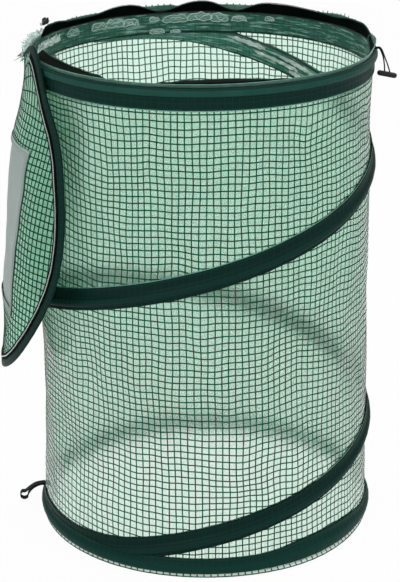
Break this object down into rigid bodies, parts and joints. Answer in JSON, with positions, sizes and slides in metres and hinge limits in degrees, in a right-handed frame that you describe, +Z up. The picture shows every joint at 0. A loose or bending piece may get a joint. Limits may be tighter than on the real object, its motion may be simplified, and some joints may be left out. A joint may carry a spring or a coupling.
{
  "type": "mini greenhouse",
  "caption": "Pop-up cylindrical mini greenhouse of clear reinforced film on a sprung wire coil, with a zip-off vented lid hanging open at one side.",
  "frame": {"origin": "on the cylinder's axis at the underside of the floor sheet", "axes": "+Z up along the cylinder's axis; -Y is the front; the lid is hinged at -X and the carrying toggle hangs near +X"},
  "size_m": [0.5323, 0.4634, 0.6783],
  "materials": {
    "green_tape": "dark green coated polyester webbing, slightly glossy",
    "clear_film": "clear pale mint reinforced PE film with a dark green scrim grid",
    "black_tape": "black woven polyester tape",
    "spring_steel": "drawn spring steel wire",
    "pale_coil": "light nylon zip coil",
    "grey_mesh": "pale grey fine insect mesh",
    "pale_welt": "pale woven edging",
    "black_plastic": "black moulded plastic",
    "black_metal": "black lacquered die-cast zinc"
  },
  "bodies": {
    "base": {"base_hoop_wire": "spring_steel", "base_ferrule": "spring_steel", "base_tape": "green_tape", "floor_sheet": "clear_film", "floor_hem": "green_tape", "cover_wall": "clear_film", "wall_seam": "clear_film", "spiral_wire": "spring_steel", "spiral_tape": "green_tape"},
    "rim": {"rim_hoop_wire": "spring_steel", "rim_ferrule": "spring_steel", "rim_tape": "green_tape", "rim_collar": "clear_film", "rim_zip_tape": "black_tape", "rim_zip_coil": "pale_coil", "rim_zip_stop_front": "spring_steel", "rim_zip_stop_rear": "spring_steel"},
    "lid": {"lid_panel": "clear_film", "lid_binding": "green_tape", "lid_zip_tape": "black_tape", "lid_zip_coil": "pale_coil", "vent_mesh": "grey_mesh", "vent_frame": "pale_welt", "lid_hinge_strip": "green_tape"},
    "slider": {"zip_slider": "black_metal"},
    "pull": {"zip_pull": "black_metal"},
    "toggle": {"toggle_bar": "black_plastic", "toggle_cord": "black_tape"},
    "strap": {"strap_loop": "black_tape"}
  },
  "joints": [
    {"name": "collapse", "type": "slide", "parent": "base", "child": "rim", "axis": [0, 0, 1], "range_m": [-0.558, 0], "stiffness_N_per_m": 60, "springref_m": 0.12, "deforming": ["cover_wall", "wall_seam", "spiral_wire", "spiral_tape"]},
    {"name": "lid_hinge", "type": "hinge", "parent": "rim", "child": "lid", "pos_m": [-0.22975, 0, 0.6605], "axis": [0, 1, 0], "range_deg": [0, 268], "deforming": ["lid_panel", "lid_binding", "lid_zip_tape", "lid_zip_coil", "vent_mesh", "vent_frame", "lid_hinge_strip"]},
    {"name": "zip_travel", "type": "hinge", "parent": "rim", "child": "slider", "pos_m": [0, 0, 0.6743], "axis": [0, 0, 1], "range_deg": [-323, 0], "deforming": ["rim_zip_tape", "rim_zip_coil"]},
    {"name": "pull_swing", "type": "hinge", "parent": "slider", "child": "pull", "pos_m": [-0.20513, 0.06963, 0.6743], "axis": [0, 0, 1], "range_deg": [0, 150]},
    {"name": "toggle_swing", "type": "hinge", "parent": "rim", "child": "toggle", "pos_m": [0.22168, -0.0233, 0.6552], "axis": [-0.1045, -0.9945, 0], "range_deg": [0, 70]},
    {"name": "strap_swing", "type": "hinge", "parent": "base", "child": "strap", "pos_m": [-0.225, -0.02365, 0.0376], "axis": [-0.1045, 0.9945, 0], "range_deg": [0, 60]}
  ]
}
